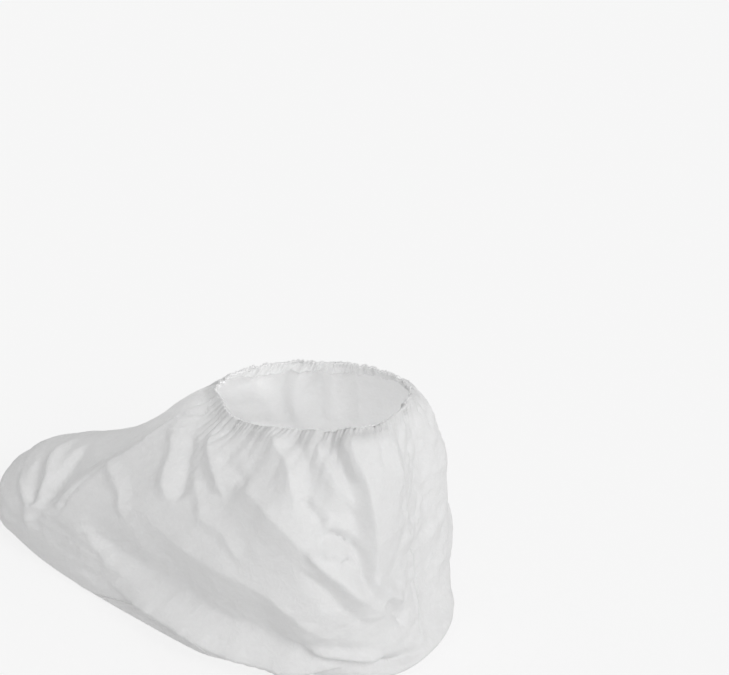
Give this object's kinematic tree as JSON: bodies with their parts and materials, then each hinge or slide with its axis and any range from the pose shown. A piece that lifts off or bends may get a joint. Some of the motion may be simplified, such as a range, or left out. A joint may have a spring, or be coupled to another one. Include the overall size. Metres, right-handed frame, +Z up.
{
  "type": "shoe cover",
  "caption": "Loose cloth overshoe standing open: slumped, folded upper with a gathered elastic mouth and a sewn-on grip sole, pulled over a shoe to keep dirt off a clean floor.",
  "frame": {"origin": "on the floor under the middle of the cover's box", "axes": "+X towards the heel, -X towards the toe, +Z up through the mouth, -Y the side with the deepest folds"},
  "size_m": [0.3551, 0.1897, 0.1775],
  "materials": {
    "upper_cloth": "white flash-spun nonwoven, matte with a faint fibre swirl, creased and crumpled",
    "hem_cloth": "the same white nonwoven, turned in and gathered on elastic, with fine pleats",
    "sole_grip": "white coated nonwoven, embossed with a small diamond lattice for grip"
  },
  "bodies": {
    "root": {"upper": "upper_cloth", "elastic_hem": "hem_cloth", "sole": "sole_grip"}
  },
  "joints": []
}
